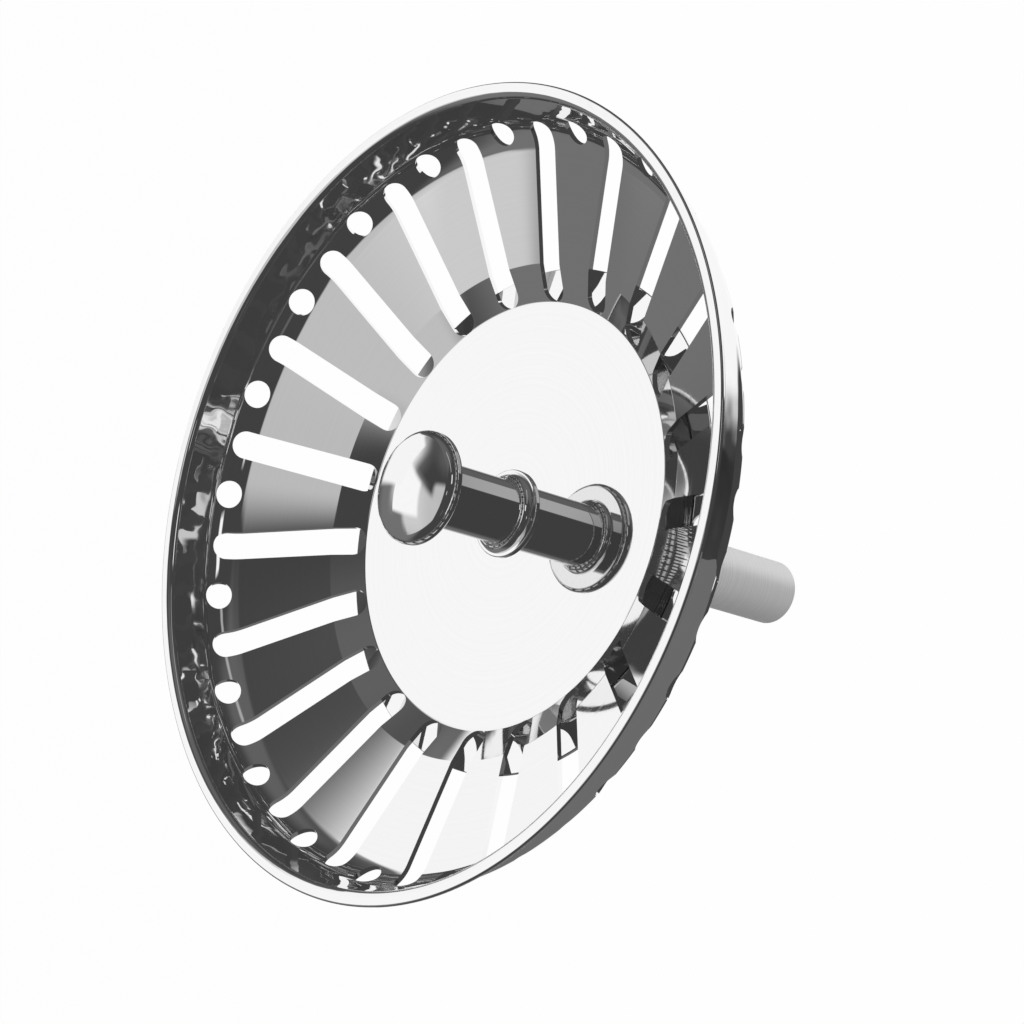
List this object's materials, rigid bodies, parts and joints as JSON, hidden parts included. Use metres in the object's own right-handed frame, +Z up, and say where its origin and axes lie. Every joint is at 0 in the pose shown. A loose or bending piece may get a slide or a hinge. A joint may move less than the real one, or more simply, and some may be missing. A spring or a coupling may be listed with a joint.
{
  "type": "sink basket strainer plug",
  "caption": "Polished round sink strainer plug: a slotted dish with a flat base, a mushroom pull knob above, and a backing plate, rubber seal and tail stem below.",
  "frame": {"origin": "on the stem's axis, at the shoulder where the free tail stem begins, under the clamp washer", "axes": "+Z up along the stem's axis towards the pull knob, +X along one of the dish's slots"},
  "size_m": [0.08, 0.08, 0.0523],
  "materials": {
    "polished_steel": "mirror polished stainless steel",
    "chromed_knob": "bright chrome on a turned knob",
    "satin_stem": "satin, fine turning marks",
    "seal_rubber": "matt black moulded rubber"
  },
  "bodies": {
    "root": {"strainer_basket": "polished_steel", "pull_knob": "chromed_knob", "backing_plate": "polished_steel", "rubber_seal": "seal_rubber", "clamp_washer": "polished_steel", "tail_stem": "satin_stem"}
  },
  "joints": []
}
